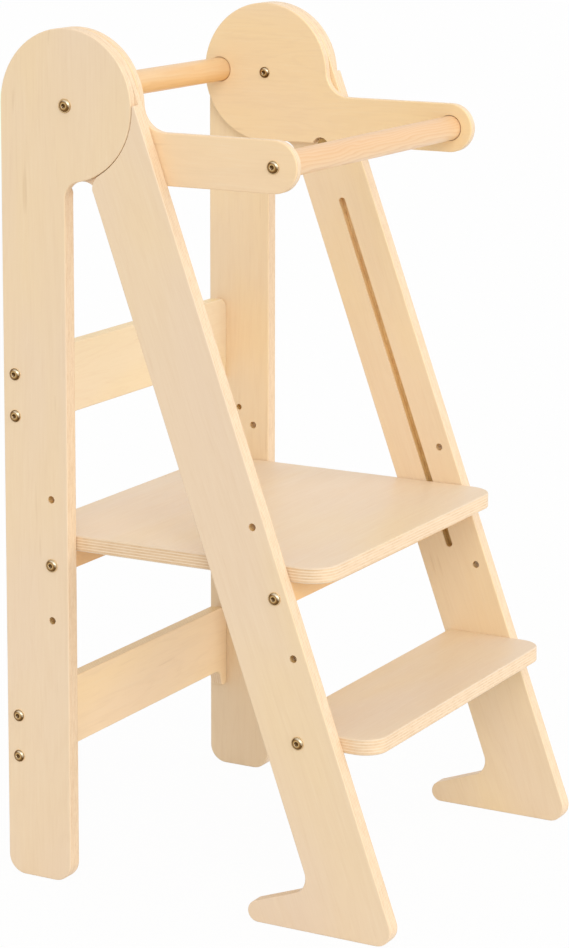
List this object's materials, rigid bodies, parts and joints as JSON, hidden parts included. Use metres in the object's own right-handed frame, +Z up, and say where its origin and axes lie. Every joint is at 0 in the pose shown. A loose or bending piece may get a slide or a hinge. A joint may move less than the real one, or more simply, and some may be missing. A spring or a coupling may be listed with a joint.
{
  "type": "kitchen helper stool",
  "caption": "Folding wooden kitchen helper stool for a toddler: hinged front and rear legs, height-set standing board, step, rails and a lift-over guard.",
  "frame": {"origin": "on the floor, at the middle of the footprint in use", "axes": "+Z up, -Y the front with the step, X across, symmetric left to right"},
  "size_m": [0.4472, 0.4538, 0.9],
  "materials": {
    "birch_plywood": "clear lacquered birch plywood, satin",
    "dowel_wood": "clear lacquered softwood dowel, satin",
    "brass_plated": "brass plated, polished",
    "zinc_steel": "zinc plated",
    "nylon": "plain nylon",
    "bumper": "khaki brown, matt"
  },
  "bodies": {
    "rear_frame": {"rear_leg_left": "birch_plywood", "rear_leg_right": "birch_plywood", "upper_back_rail": "birch_plywood", "lower_back_rail": "birch_plywood", "upper_rail_bolts": "brass_plated", "upper_rail_barrel_nuts": "zinc_steel", "lower_rail_bolts": "brass_plated", "lower_rail_barrel_nuts": "zinc_steel", "head_pivot_sleeves": "brass_plated", "head_pivot_screws": "brass_plated", "head_lap_washers": "nylon"},
    "front_frame": {"front_leg_left": "birch_plywood", "front_leg_right": "birch_plywood", "step_board": "birch_plywood", "step_bolts": "brass_plated", "step_barrel_nuts": "zinc_steel", "step_dowels": "dowel_wood", "front_cross_bar": "birch_plywood", "front_bar_bolts": "brass_plated", "front_bar_barrel_nuts": "zinc_steel", "guard_rest_bumpers": "bumper"},
    "platform": {"platform_board": "birch_plywood", "rear_cross_bar": "birch_plywood", "cross_bar_screws": "zinc_steel", "platform_pivot_bolts": "brass_plated", "platform_barrel_nuts": "zinc_steel", "platform_guide_pins": "zinc_steel"},
    "guide_bushes": {"guide_bushes": "nylon"},
    "guard": {"guard_arm_left": "birch_plywood", "guard_arm_right": "birch_plywood", "guard_front_dowel": "dowel_wood", "guard_rear_dowel": "dowel_wood", "front_dowel_bolts": "brass_plated", "front_dowel_inserts": "zinc_steel", "rear_dowel_screws": "zinc_steel", "guard_washers": "nylon"}
  },
  "joints": [
    {"name": "front_fold", "type": "hinge", "parent": "rear_frame", "child": "front_frame", "pos_m": [0, 0.14838, 0.8215], "axis": [1, 0, 0], "range_deg": [0, 20]},
    {"name": "platform_fold", "type": "hinge", "parent": "rear_frame", "child": "platform", "pos_m": [0, 0.16938, 0.341], "axis": [-1, 0, 0], "range_deg": [0, 69.4]},
    {"name": "guide_slide", "type": "slide", "parent": "front_frame", "child": "guide_bushes", "axis": [0, 0.342, 0.9397], "range_m": [0, 0.2452]},
    {"name": "guard_lift", "type": "hinge", "parent": "front_frame", "child": "guard", "pos_m": [0, 0.14838, 0.8215], "axis": [-1, 0, 0], "range_deg": [0, 255]}
  ],
  "couplings": [
    {"joint": "platform_fold", "follows": "front_fold", "ratio": 3.4647},
    {"joint": "guide_slide", "follows": "front_fold", "m_per_rad": 0.70168}
  ]
}
